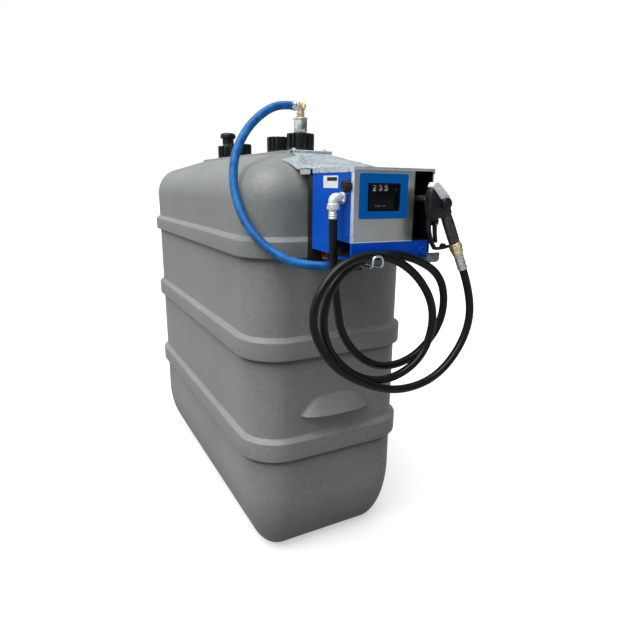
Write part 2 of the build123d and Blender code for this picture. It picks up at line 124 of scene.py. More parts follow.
# Joins rows of equally many points to a closed skin with a face at each end
def tube(rows):
    bm = bmesh.new()
    made = [[bm.verts.new(p) for p in row] for row in rows]
    for a, b in zip(made, made[1:]):
        for i in range(len(a)):
            bm.faces.new((a[i - 1], a[i], b[i], b[i - 1]))
    bm.faces.new(made[0])
    bm.faces.new(made[-1])
    return outward(bm)


def polar(radii, z):
    step = 2 * pi / len(radii)
    return [(r * cos(step * i), r * sin(step * i), z) for i, r in enumerate(radii)]


def circle(cx, cy, r, n=24):
    return [(cx + x, cy + y) for x, y, z in polar([r] * n, 0)]


def prism(outline, depth, bevel=0, segments=2, hole=()):
    bm = bmesh.new()
    edges = []
    for loop in (outline, hole[::-1]):
        verts = [bm.verts.new((x, y, 0)) for x, y in loop]
        edges += [bm.edges.new((verts[i - 1], verts[i])) for i in range(len(verts))]
    if hole:
        bmesh.ops.triangle_fill(bm, use_beauty=True, use_dissolve=False, edges=edges)
    else:
        bm.faces.new(list(bm.verts))
    raised = bmesh.ops.extrude_face_region(bm, geom=list(bm.faces))
    top = [g for g in raised["geom"] if isinstance(g, bmesh.types.BMVert)]
    bmesh.ops.translate(bm, vec=(0, 0, depth), verts=top)
    outward(bm)
    if hole:
        bmesh.ops.dissolve_limit(bm, angle_limit=FLAT_ANGLE, verts=bm.verts, edges=bm.edges)
    if bevel:
        sharp = [e for e in bm.edges if len(e.link_faces) == 2 and e.calc_face_angle(0) > BEVEL_ANGLE]
        bmesh.ops.bevel(bm, geom=sharp, offset=bevel, segments=segments, profile=0.5, affect="EDGES",
                        clamp_overlap=True)
    return bm


def block(x, y, z, bevel=0, segments=2):
    bm = prism([(x[0], y[0]), (x[1], y[0]), (x[1], y[1]), (x[0], y[1])], z[1] - z[0], bevel, segments)
    bm.transform(moved(0, 0, z[0]))
    return bm


WALL = 2.5


# Two sides, a bottom and a top, and one wall across at wall_y
def open_box(x, y, z, wall_y, bevel):
    bm = bmesh.new()
    for at in (x[0], x[1] - WALL):
        pour(bm, block((at, at + WALL), y, z, bevel))
    for at in (z[0], z[1] - WALL):
        pour(bm, block(x, y, (at, at + WALL), bevel))
    pour(bm, block(x, (wall_y, wall_y + WALL), z, bevel))
    return bm


# Equal blocks round the Z axis
def spokes(target, count, *sizes):
    for k in range(count):
        pour(target, block(*sizes), Matrix.Rotation(2 * pi * k / count, 4, "Z"))


def rounded_box(w, h, r, cx=0, cy=0, n=6):
    points = []
    for k, (sx, sy) in enumerate(((1, 1), (-1, 1), (-1, -1), (1, -1))):
        for i in range(n + 1):
            a = pi / 2 * (k + i / n)
            points.append((cx + sx * (w / 2 - r) + r * cos(a), cy + sy * (h / 2 - r) + r * sin(a)))
    return points


# A profile that ends where it starts makes a ring, any other one a solid
def lathe(profile, sides=48):
    bm = bmesh.new()
    rows = [[bm.verts.new(p) for p in (polar([r] * sides, z) if r > AXIS else [(0, 0, z)])] for r, z in profile]
    for a, b in zip(rows, rows[1:]):
        for i in range(sides):
            j = (i + 1) % sides
            unique = dict.fromkeys([a[i % len(a)], a[j % len(a)], b[j % len(b)], b[i % len(b)]])
            if len(unique) > 2:
                bm.faces.new(list(unique))
    if profile[0] != profile[-1]:
        for row in (rows[0], rows[-1]):
            if len(row) > 2:
                bm.faces.new(row)
    return outward(bm)


# Rounds the corners of a line with r, one value or one for each point
def soften(points, r, n=4, closed=False, share=0.45):
    points = [Vector(p) for p in points]
    out = []
    for i, p in enumerate(points):
        if not closed and i in (0, len(points) - 1):
            out.append(tuple(p))
            continue
        a, b = points[i - 1] - p, points[(i + 1) % len(points)] - p
        cut = min(r[i] if hasattr(r, "__len__") else r, a.length * share, b.length * share)
        start, end = p + a.normalized() * cut, p + b.normalized() * cut
        for k in range(n + 1):
            t = k / n
            out.append(tuple(start * (1 - t) ** 2 + p * 2 * t * (1 - t) + end * t ** 2))
    return out


def rounded_loop(points, r, n=4):
    return soften(points, r, n, closed=True)


def smooth_path(points, r, n=8):
    return soften(points, r, n, share=0.49)


def spun(profile, r, n, sides=48):
    return lathe(soften(profile, r, n), sides)


def pipe(path, radius, sides):
    path = [Vector(p) for p in path]
    rows, normal = [], None
    for k, p in enumerate(path):
        t = (path[min(k + 1, len(path) - 1)] - path[max(k - 1, 0)]).normalized()
        normal = normal or t.orthogonal()
        normal = (normal - t * normal.dot(t)).normalized()
        other = t.cross(normal)
        r = radius[k] if hasattr(radius, "__len__") else radius
        rows.append([p + normal * x + other * y for x, y in circle(0, 0, r, sides)])
    return tube(rows)


def screw(at, z_dir, r=5, h=3):
    bm = lathe([(0, h), (r * 0.55, h * 0.95), (r * 0.9, h * 0.55), (r, 0), (r, -1)], 20)
    bm.transform(aim(at, Vector(z_dir).orthogonal(), z_dir))
    return bm


def bolt(at, z_dir, r=8.5, h=5.5, washer=11):
    thick = 1.8
    bm = lathe([(0, thick), (washer * 0.95, thick), (washer, 1.2), (washer, -1)], 28)
    pour(bm, prism(circle(0, 0, r, 6), h, 0.7, 1), moved(0, 0, thick))
    bm.transform(aim(at, Vector(z_dir).orthogonal(), z_dir))
    return bm


def piece(name, bm, looks, node, body="tank", angle=32):
    bm.transform(Matrix.Scale(MM, 4))
    layer = look_layer(bm)
    numbers = [f[layer] for f in bm.faces]
    mesh = bpy.data.meshes.new(name)
    bm.to_mesh(mesh)
    bm.free()
    for look in looks if isinstance(looks, list) else [looks]:
        mesh.materials.append(look)
    mesh.polygons.foreach_set("material_index", numbers)
    mesh.polygons.foreach_set("use_smooth", [True] * len(numbers))
    mesh.set_sharp_from_angle(angle=radians(angle))
    made = in_scene(name, mesh)
    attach(made, body)
    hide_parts(node)
    return made


# Material helpers
def feed(tree, node, inputs):
    for key, value in inputs.items():
        if hasattr(value, "is_linked"):
            tree.links.new(value, node.inputs[key])
        else:
            node.inputs[key].default_value = value


def add_node(tree, kind, inputs, **settings):
    made = tree.nodes.new("ShaderNode" + kind)
    for name, value in settings.items():
        setattr(made, name, value)
    feed(tree, made, inputs)
    return made


def shader(name, colour, rough, metal=0, specular=0.5):
    made = bpy.data.materials.new(name)
    made.use_nodes = True
    tree = made.node_tree
    node = tree.nodes["Principled BSDF"]
    feed(tree, node, {"Base Color": (*colour, 1), "Roughness": rough, "Metallic": metal,
        "Specular IOR Level": specular})
    return made, tree, node


def coords(tree, scale=(1, 1, 1)):
    place = tree.nodes.new("ShaderNodeTexCoord").outputs["Object"]
    return add_node(tree, "Mapping", {"Vector": place, "Scale": scale}).outputs["Vector"]


def noise(tree, vector, scale, detail=2, rough=0.5):
    inputs = {"Vector": vector, "Scale": scale, "Detail": detail, "Roughness": rough}
    return add_node(tree, "TexNoise", inputs).outputs["Fac"]


def maths(tree, operation, *values):
    return add_node(tree, "Math", dict(enumerate(values)), operation=operation).outputs[0]


def dot(tree, vector, direction):
    return add_node(tree, "VectorMath", {0: vector, 1: direction}, operation="DOT_PRODUCT").outputs["Value"]


def ramp(tree, value, stops):
    made = add_node(tree, "ValToRGB", {"Fac": value})
    line = made.color_ramp.elements
    while len(line) < len(stops):
        line.new(0.5)
    for element, (at, colour) in zip(line, stops):
        element.position = at
        element.color = (*colour, 1) if hasattr(colour, "__len__") else (colour, colour, colour, 1)
    return made.outputs["Color"]


def mix(tree, a, b, factor, mode="MIX"):
    made = add_node(tree, "Mix", {0: factor}, data_type="RGBA", blend_type=mode)
    for value, name in ((a, "A"), (b, "B")):
        target = [s for s in made.inputs if s.name == name and s.type == "RGBA"][0]
        if hasattr(value, "is_linked"):
            tree.links.new(value, target)
        else:
            target.default_value = (*value, 1)
    return [s for s in made.outputs if s.type == "RGBA"][0]


# Each layer is a height, a strength and a distance
def bump(tree, node, *layers):
    below = {}
    for height, strength, distance in layers:
        made = add_node(tree, "Bump", {"Height": height, "Strength": strength, "Distance": distance, **below})
        below = {"Normal": made.outputs["Normal"]}
    feed(tree, node, below)


def grain(name, dark, light, rough, metal, scale, fine, fine_by, dent, specular=0.5):
    made, tree, node = shader(name, light, rough[0], metal, specular)
    place = coords(tree)
    broad = noise(tree, place, scale, 4)
    feed(tree, node, {"Base Color": ramp(tree, broad, [(0.3, dark), (0.7, light)]),
                      "Roughness": ramp(tree, broad, [(0.3, rough[0]), (0.7, rough[1])])})
    bump(tree, node, (noise(tree, place, fine, 3), fine_by, dent))
    return made


# Materials
BELT_LOW = (0.479, 0.912, 1.312)
# Top of the height ramp for the painted shade under the belts and the darkening at the foot
SHADE_RAMP_HIGH = 1.6


def moulded_plastic(name, dark, light):
    made, tree, node = shader(name, light, 0.46, specular=0.36)
    place = coords(tree)
    cloud = noise(tree, place, 3.4, 5, 0.62)
    tone = ramp(tree, cloud, [(0.3, dark), (0.68, light)])
    blotch = ramp(tree, noise(tree, place, 42, 4, 0.65), [(0.3, (0.9, 0.9, 0.89)), (0.7, (1.06,) * 3)])
    mottle = ramp(tree, noise(tree, place, 95, 3, 0.7), [(0.28, (0.82, 0.82, 0.81)), (0.72, (1.14,) * 3)])
    flecks = ramp(tree, noise(tree, place, 520, 1), [(0.33, (0.6, 0.6, 0.58)), (0.42, (1, 1, 1))])
    streak = noise(tree, coords(tree, (9, 9, 0.7)), 2.2, 6, 0.7)
    stain = ramp(tree, streak, [(0.42, (0.88, 0.87, 0.85)), (0.62, (1, 1, 1))])
    # Painted shade by height: darker towards the foot, and a painted shade line just under each belt
    stops = [(0.0, 0.72), (0.3, 1.0)]
    for low in BELT_LOW:
        shade = low - 0.02 + 0.009 * low
        stops += [(shade - 0.012, 1.0), (shade, 0.44), (low - 0.002, 0.36), (low + 0.002, 1.0)]
    height = add_node(tree, "SeparateXYZ", {0: place}).outputs["Z"]
    share = maths(tree, "MULTIPLY", height, 1 / SHADE_RAMP_HIGH)
    belt_shade_and_foot_darkening = ramp(tree, share, [(z / SHADE_RAMP_HIGH, level) for z, level in stops])
    for layer, factor in ((blotch, 0.75), (mottle, 0.65), (flecks, 0.55), (stain, 0.22), (belt_shade_and_foot_darkening, 0.9)):
        tone = mix(tree, tone, layer, factor, "MULTIPLY")
    feed(tree, node, {"Base Color": tone, "Roughness": ramp(tree, cloud, [(0.3, 0.38), (0.7, 0.5)])})
    bump(tree, node, (noise(tree, place, 38, 3), 0.16, 0.0016), (noise(tree, place, 300, 2), 0.2, 0.0005))
    return made


def galvanised(name, dark, light):
    made, tree, node = shader(name, light, 0.34, 0.86)
    place = coords(tree)
    cells = add_node(tree, "TexVoronoi", {"Vector": place, "Scale": 130}).outputs
    tone = ramp(tree, cells["Color"], [(0.2, dark), (0.8, light)])
    dull = ramp(tree, noise(tree, place, 14, 4), [(0.35, (0.84, 0.85, 0.86)), (0.65, (1, 1, 1))])
    feed(tree, node, {"Base Color": mix(tree, tone, dull, 0.8, "MULTIPLY"),
                      "Roughness": ramp(tree, cells["Color"], [(0.1, 0.28), (0.9, 0.46)])})
    bump(tree, node, (cells["Distance"], 0.06, 0.0004), (noise(tree, place, 500, 2), 0.06, 0.0002))
    return made


# Vertical grain, with a painted reflection along a slanted run: a bright painted highlight at the left edge,
# fading to darker painted shade by the holster
def brushed(name, dark, light):
    made, tree, node = shader(name, light, 0.3, 0.95)
    lines = noise(tree, coords(tree, (4, 4, 1300)), 1.0, 5, 0.65)
    tone = ramp(tree, lines, [(0.3, dark), (0.7, light)])
    dull = ramp(tree, noise(tree, coords(tree), 9, 3), [(0.35, (0.9, 0.9, 0.89)), (0.65, (1, 1, 1))])
    tone = mix(tree, tone, dull, 0.8, "MULTIPLY")
    # Painted reflection across the panel: bright at the left edge, dark towards the holster, with a little
    # noise in its run
    reflection_slant = dot(tree, coords(tree), (2.0, 0.0, -0.5))
    reflection_wander = maths(tree, "MULTIPLY_ADD", noise(tree, coords(tree, (30, 30, 9)), 1.0, 3), 0.16, reflection_slant)
    stops = [(0.02, (1.5, 1.58, 1.7)), (0.05, (1.14, 1.24, 1.42)), (0.12, (1.04, 1.14, 1.28)),
             (0.3, (1.02, 1.08, 1.1)), (0.52, (1.04, 1.06, 1.00)), (0.6, (0.74, 0.77, 0.76)),
             (0.68, (0.46, 0.49, 0.5)), (0.8, (0.34, 0.36, 0.4))]
    tone = mix(tree, tone, ramp(tree, maths(tree, "ADD", reflection_wander, 1.14), stops), 1.0, "MULTIPLY")
    feed(tree, node, {"Base Color": tone, "Roughness": ramp(tree, lines, [(0.25, 0.26), (0.75, 0.4)])})
    bump(tree, node, (lines, 0.05, 0.0002))
    return made


def hose_look(name, dark, light, rough, pitch, specular):
    made, tree, node = shader(name, light, rough[0], specular=specular)
    place = coords(tree)
    cloud = noise(tree, place, 24, 4)
    weave = ramp(tree, noise(tree, place, 170, 2), [(0.34, (0.7, 0.72, 0.76)), (0.64, (1.28, 1.24, 1.18))])
    tone = mix(tree, ramp(tree, cloud, [(0.3, dark), (0.7, light)]), weave, 0.8, "MULTIPLY")
    feed(tree, node, {"Base Color": tone, "Roughness": ramp(tree, cloud, [(0.3, rough[0]), (0.7, rough[1])])})
    bump(tree, node, (noise(tree, place, pitch, 3), 0.18, 0.0005))
    return made


grey_plastic = moulded_plastic("rotomoulded_grey", (0.208, 0.221, 0.214), (0.258, 0.272, 0.264))
# A darker copy of the galvanised look: painted shade for the rest under the nozzle
galvanised_painted_shade = galvanised("galvanised_painted_shade", (0.16, 0.18, 0.19), (0.34, 0.37, 0.38))
galvanised_steel = galvanised("galvanised_sheet", (0.68, 0.75, 0.81), (0.86, 0.93, 0.98))
stainless = brushed("brushed_stainless", (0.5, 0.51, 0.51), (0.64, 0.65, 0.65))
black_rubber = hose_look("black_rubber", (0.003, 0.0036, 0.004), (0.0065, 0.0075, 0.0085), (0.2, 0.27), 420,
    0.24)
blue_rubber = hose_look("blue_hose", (0.003, 0.08, 0.3), (0.01, 0.185, 0.52), (0.26, 0.36), 380, 0.3)

# Dark and light tone, roughness, metal, size of the broad and the fine grain, its strength and depth
black_plastic = grain("moulded_black", (0.0045, 0.005, 0.006), (0.011, 0.012, 0.014), (0.32, 0.44), 0, 55, 600,
    0.22, 0.0004, 0.34)
black_paint = grain("satin_black_paint", (0.005, 0.005, 0.006), (0.011, 0.011, 0.013), (0.36, 0.46), 0, 30, 420,
    0.12, 0.0003, 0.3)
blue_paint = grain("blue_powder_coat", (0.0012, 0.08, 0.5), (0.002, 0.094, 0.58), (0.3, 0.4), 0, 9, 520, 0.1,
    0.0003, 0.1)
dark_blue_paint = grain("apron_powder_coat", (0.0012, 0.066, 0.52), (0.002, 0.08, 0.62), (0.3, 0.4), 0, 9, 520,
    0.1, 0.0003, 0.1)
meter_blue = grain("meter_blue_print", (0.001, 0.12, 0.46), (0.002, 0.135, 0.52), (0.36, 0.42), 0, 20, 500,
    0.05, 0.0002, 0.06)
meter_black = grain("meter_black_glass", (0.003, 0.003, 0.006), (0.005, 0.005, 0.009), (0.16, 0.22), 0, 20, 300,
    0.02, 0.0001, 0.14)
white_print = grain("white_print", (0.8, 0.81, 0.82), (0.88, 0.88, 0.88), (0.4, 0.5), 0, 60, 500, 0.03, 0.0001)
label_white = grain("label_white", (0.78, 0.8, 0.84), (0.92, 0.94, 0.97), (0.4, 0.5), 0, 40, 400, 0.03, 0.0001,
    0.4)
grey_cover = grain("grey_rubber_cover", (0.7, 0.72, 0.75), (0.9, 0.92, 0.95), (0.42, 0.56), 0, 90, 700, 0.25,
    0.0004)
inner_plastic = grain("inner_polyethylene", (0.34, 0.34, 0.33), (0.42, 0.42, 0.41), (0.45, 0.55), 0, 12, 300,
    0.15, 0.0004)
zinc = grain("zinc_plate", (0.5, 0.54, 0.54), (0.86, 0.9, 0.9), (0.12, 0.22), 0.95, 70, 420, 0.1, 0.0002)
brass = grain("brass_metal", (0.72, 0.58, 0.3), (0.95, 0.83, 0.56), (0.2, 0.34), 0.8, 60, 380, 0.12, 0.0002)
grip_rubber = grain("grip_rubber", (0.022, 0.024, 0.028), (0.06, 0.064, 0.07), (0.22, 0.3), 0, 70, 500, 0.2,
    0.0004, 0.6)
pump_iron = grain("pump_casting", (0.01, 0.011, 0.013), (0.028, 0.029, 0.032), (0.45, 0.62), 0.1, 70, 300, 0.45,
    0.0012)
orange_patch = grain("orange_patch", (0.23, 0.022, 0.008), (0.32, 0.04, 0.012), (0.4, 0.5), 0, 60, 400, 0.06,
    0.0001)
cast_zinc = grain("cast_zinc", (0.62, 0.65, 0.67), (0.86, 0.89, 0.91), (0.34, 0.5), 0.35, 160, 700, 0.5, 0.0006)
pale_patch = grain("pale_patch", (0.4, 0.42, 0.4), (0.52, 0.54, 0.52), (0.4, 0.5), 0, 60, 400, 0.06, 0.0001)
# A lighter, less metallic copy of the stainless: a painted highlight for the front panel's folds
fold_painted_highlight = grain("fold_painted_highlight", (0.66, 0.72, 0.78), (0.86, 0.92, 0.97), (0.28, 0.4), 0.35, 60, 500, 0.06,
    0.0001)
faint_print = grain("faint_print", (0.22, 0.23, 0.24), (0.28, 0.29, 0.3), (0.4, 0.5), 0, 60, 500, 0.03, 0.0001)
drum_black = grain("drum_black", (0.004, 0.004, 0.006), (0.008, 0.008, 0.01), (0.35, 0.45), 0, 30, 300, 0.03,
    0.0001)


CURVE_STEPS, HOSE_SIDES = 48, 28


def spline_points(points, name):
    curve = bpy.data.curves.new(name, "CURVE")
    curve.dimensions = "3D"
    curve.resolution_u = CURVE_STEPS
    line = curve.splines.new("NURBS")
    line.points.add(len(points) - 1)
    for point, (x, y, z) in zip(line.points, points):
        point.co = (x, y, z, 1)
    line.order_u = 3
    line.use_endpoint_u = True
    holder = in_scene(name, curve)
    bpy.context.view_layer.update()
    mesh = bpy.data.meshes.new_from_object(holder)
    path = [v.co.copy() for v in mesh.vertices]
    bpy.data.objects.remove(holder)
    bpy.data.meshes.remove(mesh)
    return path


# Points at equal steps along the path, and its length
def spaced(path, step):
    total = sum((b - a).length for a, b in zip(path, path[1:]))
    count = max(2, round(total / step))
    out, run, k = [path[0].copy()], 0.0, 0
    for i in range(1, count):
        want = total * i / count
        while run + (path[k + 1] - path[k]).length < want:
            run += (path[k + 1] - path[k]).length
            k += 1
        span = path[k + 1] - path[k]
        out.append(path[k] + span * ((want - run) / span.length))
    out.append(path[-1].copy())
    return out, total


def hose(name, points, radius, look, node):
    return piece(name, pipe([p / MM for p in points], radius, HOSE_SIDES), look, node, angle=60)


delivery_line = spline_points([
    (-.195, -1.12, 1.474), (-.195, -1.12, 1.392), (-.185, -1.13, 1.228), (-.16, -1.138, 1.065),
    (-.027, -1.147, .945), (.14, -1.156, .959), (.261, -1.166, 1.092), (.234, -1.184, 1.263),
    (.079, -1.2, 1.35), (-.084, -1.2, 1.37), (-.244, -1.202, 1.296), (-.285, -1.206, 1.122),
    (-.192, -1.21, .979), (-.033, -1.214, .914), (.13, -1.219, .981), (.174, -1.223, 1.152),
    (.075, -1.23, 1.297), (-.074, -1.232, 1.375), (-.245, -1.235, 1.349), (-.345, -1.237, 1.198),
    (-.276, -1.238, 1.038), (-.141, -1.239, .941), (.016, -1.24, .885), (.185, -1.24, .91),
    (.304, -1.24, 1.034), (.326, -1.24, 1.182), (.2645, -1.24, 1.3024)], "delivery_line")
suction_line = spline_points([
    (-.044, -.49, 1.9), (-.104, -.49, 1.9), (-.2, -.536, 1.851), (-.287, -.593, 1.78),
    (-.351, -.641, 1.689), (-.379, -.691, 1.582), (-.376, -.752, 1.478), (-.344, -.828, 1.389),
    (-.276, -.902, 1.321), (-.185, -.985, 1.3), (-.125, -.985, 1.3)], "suction_line")

delivery_points, delivery_length = spaced(delivery_line, 0.006)
delivery = hose("delivery_hose_tube", delivery_points, 14, black_rubber, "delivery_hose")

suction_points, suction_length = spaced(suction_line, 0.00115)
rib_points = 6
ribs = [16.3 + 0.7 * sin(2 * pi * i / rib_points) for i in range(len(suction_points))]
suction = hose("suction_hose_tube", suction_points, ribs, blue_rubber, "suction_hose")


# Moulded tank
half_x, half_y, corner = 360, 837, 154
ACROSS, ALONG, ROUND = 56, 30, 22


# A rounded rectangle, always with the same number of points
def ring(hx, hy, r, z, bow=None):
    r = max(r, 0.5)
    centres = [(sx * (hx - r), sy * (hy - r)) for sx, sy in ((1, -1), (1, 1), (-1, 1), (-1, -1), (1, -1))]
    points = []
    for k, ((ax, ay), (bx, by)) in enumerate(zip(centres, centres[1:])):
        n = ACROSS if k % 2 else ALONG
        dx, dy = r * cos(pi / 2 * k), r * sin(pi / 2 * k)
        points += [(ax + (bx - ax) * i / n + dx, ay + (by - ay) * i / n + dy, z) for i in range(n)]
        turn = [pi / 2 * (k + i / ROUND) for i in range(ROUND)]
        points += [(bx + r * cos(a), by + r * sin(a), z) for a in turn]
    return [bow(*p) for p in points] if bow else points


GRIP_HALF, GRIP_LOW, GRIP_HIGH, GRIP_OUT, GRIP_LIP = 162, 662, 738, 48, 6


# The ring round the tank at this offset from its walls
def wall(offset, z):
    return (half_x + offset, half_y + offset, corner + offset, z)


# Pushes the points of an end wall out to the moulded grip
def grip(x, y, z):
    share = min(1, abs(x) / GRIP_HALF)
    top = GRIP_LOW + (GRIP_HIGH - GRIP_LOW) * min(1, (1 - share ** 3.2) * 1.02)
    rise = min(1, (top - z) / max(top - GRIP_LOW, 0.1))
    if abs(y) < half_y - 1 or not GRIP_LOW - GRIP_LIP < z < GRIP_HIGH + 2 or rise <= 0 or share >= 1:
        return (x, y, z)
    out = GRIP_OUT * (1 - share ** 2.6) ** 0.55 * rise ** 0.92
    if z < GRIP_LOW:
        out *= math.sqrt(max(0, 1 - ((GRIP_LOW - z) / GRIP_LIP) ** 2))
    return (x, y + math.copysign(out, y), z)


# Splits a profile into short steps, with steps of 20 below fine_to
def dense(profile, step, fine_to=0):
    out = [profile[0]]
    for a, b in zip(profile, profile[1:]):
        size = 20 if min(a[1], b[1]) < fine_to else step
        n = max(1, math.ceil(math.hypot(b[0] - a[0], b[1] - a[1]) / size))
        out += [(a[0] + (b[0] - a[0]) * i / n, a[1] + (b[1] - a[1]) * i / n) for i in range(1, n + 1)]
    return out


def belt(low, high):
    return [(0, low), (21.5, low + 2), (22, high - 15), (0, high)]


# Offset from the wall and height: elliptical foot, two belts with the grip between them
foot_angles = [radians(90 * i / 34 - 90) for i in range(35)]
foot = [(-141 + 141 * cos(a), 300 + 300 * sin(a)) for a in foot_angles]
wall_line = foot[:-1] + soften([foot[-1]] + belt(479, 575) + [(0, 640), (0, 649)], [0, 1, 3, 4, 3, 0, 0], 4)
fine_z = [656.5 + 1.1 * i for i in range(6)] + [665 + 4 * i for i in range(20)]
wall_line += [(0, z) for z in fine_z]
wall_line += soften([(0, 742)] + belt(912, 1004) + [(0, 1351.8)], [0, 1, 3, 4, 3, 0], 4)
rows = [ring(*wall(o, z), grip) for o, z in dense(wall_line, 55, 300)]
inner_line = [(-8, 1351.8), (-8, 900), (-8, 450), (-8, 300)]
inner_line += [(-141 + 133 * cos(radians(a)), 300 + 292 * sin(radians(a))) for a in (-20, -40, -60, -75, -90)]
rows += [ring(*wall(o, z)) for o, z in inner_line]
piece("moulded_shell", tube(rows), grey_plastic, "bund_shell", angle=50)

# Belt, then the dome as an arc and a curve up to the raised plateau
plateau = (125, 585, 50)
belt_line = soften([(-8, 1352.2), (0.3, 1352.2), (0.3, 1312), (21.5, 1313.5), (22, 1376), (0, 1391), (0, 1470)],
    [0, 0, 0, 3, 4, 3, 0], 4)
rows = [wall(o, z) for o, z in dense(belt_line, 50)]
turn_end, turn_steps, rise_steps = 73, 30, 16
for i in range(1, turn_steps + 1):
    a = radians(turn_end * i / turn_steps)
    rows.append(wall(-140 + 140 * cos(a), 1514 + 148 * sin(a)))
start, finish = Vector(rows[-1]), Vector((*plateau, 1703))
leave, arrive = Vector((-150, -165, 0, 48.5)), Vector((-130, -140, 0, 41))
for i in range(1, rise_steps + 1):
    t = i / rise_steps
    rows.append(tuple((2 * t ** 3 - 3 * t ** 2 + 1) * start + (t ** 3 - 2 * t ** 2 + t) * leave
                      + (3 * t ** 2 - 2 * t ** 3) * finish + (t ** 3 - t ** 2) * arrive))
edge = soften([(6, 1700.8), (0, 1703), (-3.5, 1715), (-14, 1715.2)], [0, 3, 4.5, 0], 4)
rows += [(plateau[0] + o, plateau[1] + o, plateau[2] + o, z) for o, z in edge[1:]]
rows += [(95, 555, 25, 1715.2), (60, 520, 12, 1715.2)]
under = [(60, 520, 12, 1694), (240, 715, 45, 1648), (345, 820, 139, 1560), (352, 829, 146, 1514),
    (352, 829, 146, 1352.2)]
lid = tube([ring(*row) for row in under + rows])
piece("moulded_roof", lid, grey_plastic, "bund_roof", angle=50)

# Neck plates and screw caps
cap_y = {"suction_cap": -490, "fill_cap": -275, "dip_cap": 245, "vent_cap": 450}
plates = bmesh.new()
for y in cap_y.values():
    profile = soften([(45.5, 1715.2), (70, 1715.2), (70, 1719.5), (63.5, 1722.8), (45.5, 1723)],
        [0, 0.6, 1.5, 2, 0], 3)
    pour(plates, lathe(profile + profile[:1], 72), moved(0, y, 0))
piece("neck_plates", plates, black_plastic, "neck_flanges")


def screw_cap(y, winged):
    teeth, steps, tooth = 14, 10, 8.5
    base, top = 1723, 1791
    # Height, share of the tooth, radius between the teeth
    levels = [(base, 0, 56), (base + 2, 0, 58.5), (base + 8, 0, 58.5), (base + 9.5, 0.2, 55.5),
        (base + 12, 1, 50), (top - 10, 1, 50), (top - 3, 1, 49.8), (top - 0.6, 0.9, 48.6), (top - 0.8, 0, 48.5),
        (top - 1.4, 0, 47.5), (top - 7.5, 0, 45.5), (top - 8, 0, 30)]
    toothed = [i % steps < steps / 2 for i in range(teeth * steps)]
    bm = tube([polar([r + tooth * share * raised for raised in toothed], z) for z, share, r in levels])
    if winged:
        pour(bm, spun([(0, top - 9), (22, top - 9), (22, top - 3), (19, top - 1), (0, top - 0.8)], 1, 3, 36))
        spokes(bm, 6, (21, 46), (-2.2, 2.2), (top - 9, top - 2.2), 0.7)
    bm.transform(moved(0, y, 0))
    return outward(bm)


for cap_name, y in cap_y.items():
    piece("screw_" + cap_name, screw_cap(y, cap_name in ("fill_cap", "dip_cap")), black_plastic, cap_name,
        angle=28)

# Vent on the rear cap
vent = spun([(0, 1784.5), (44, 1784.5), (44, 1790.5), (36, 1792.5), (32, 1794.5), (30, 1802), (30, 1826),
    (33.5, 1829), (33.5, 1833), (41.5, 1833.5), (42.8, 1836), (42.8, 1850), (39, 1859), (27, 1862.8),
    (0, 1863.5)], 1.2, 3, 64)
spokes(vent, 12, (29, 32.5), (-1.6, 1.6), (1803, 1825), 0.5)
spokes(vent, 24, (41.5, 43.4), (-1.5, 1.5), (1836.5, 1851), 0.6)
vent.transform(moved(0, cap_y["vent_cap"], 0))
piece("vent_head", vent, black_plastic, "vent_mushroom", angle=30)

# Suction fitting, elbow and ferrule on the front cap
sy = cap_y["suction_cap"]
body = spun([(0, 1784.5), (27.5, 1784.5), (27.5, 1792.5), (24, 1793.5), (24, 1844), (29, 1845.5), (29, 1851.5),
    (22.5, 1856), (18.5, 1857.2), (0, 1857.2)], 1, 3, 56)
pour(body, prism(circle(0, 0, 28, 10), 51, 1, 2), moved(0, 0, 1793))
body.transform(moved(0, sy, 0))
piece("suction_head", body, zinc, "suction_fitting")
elbow = pipe(smooth_path([(0, sy, 1866), (0, sy, 1900), (-22, sy, 1900)], 16, 10), 13.5, 32)
pour(elbow, prism(circle(0, 0, 18.5, 6), 11, 0.8, 2), moved(0, sy, 1857))
for r, h, at in ((16.5, 7, aim((0, sy, 1869), RIGHT, UP)), (17.5, 8, aim((17, sy, 1900), BACK, LEFT))):
    pour(elbow, spun([(0, 0), (r - 1, 0), (r, 1), (r, h - 1), (r - 1, h), (0, h)], 0.8, 2, 40), at)
pour(elbow, prism(circle(0, 0, 17.8, 6), 10, 0.8, 2), aim((-9, sy, 1900), BACK, LEFT))
piece("brass_elbow", elbow, brass, "suction_elbow")
clamp = spun([(0, 0), (18.5, 0), (19.5, 1), (19.5, 3), (18.2, 4), (18.2, 8), (19.8, 9.5), (19.8, 13.5),
    (18.4, 15), (18.4, 19), (17.8, 24.5), (16.6, 25), (10, 25)], 0.7, 2, 48)
clamp.transform(aim((-19.5, sy, 1900), BACK, LEFT))
piece("suction_clamp", clamp, zinc, "suction_ferrule")

# Bracket sheet
shelf, sheet = 1634, 2.8
run = [(-560, 1715.2), (-601, 1715.2), (-601.2, 1703.4), (-695, 1669.5), (-750, 1655), (-800, shelf),
    (-898, shelf)]
line = dense(soften(run, [0, 2.5, 2.5, 20, 10, 10, 0], 4), 6)
half_widths = [(-560, 91), (-640, 91), (-692, 182), (-800, 165), (-898, 165)]


def half_at(y):
    for (a, wide_a), (b, wide_b) in zip(half_widths, half_widths[1:]):
        if y >= b:
            return wide_a + (wide_b - wide_a) * (y - a) / (b - a)
    return half_widths[-1][1]


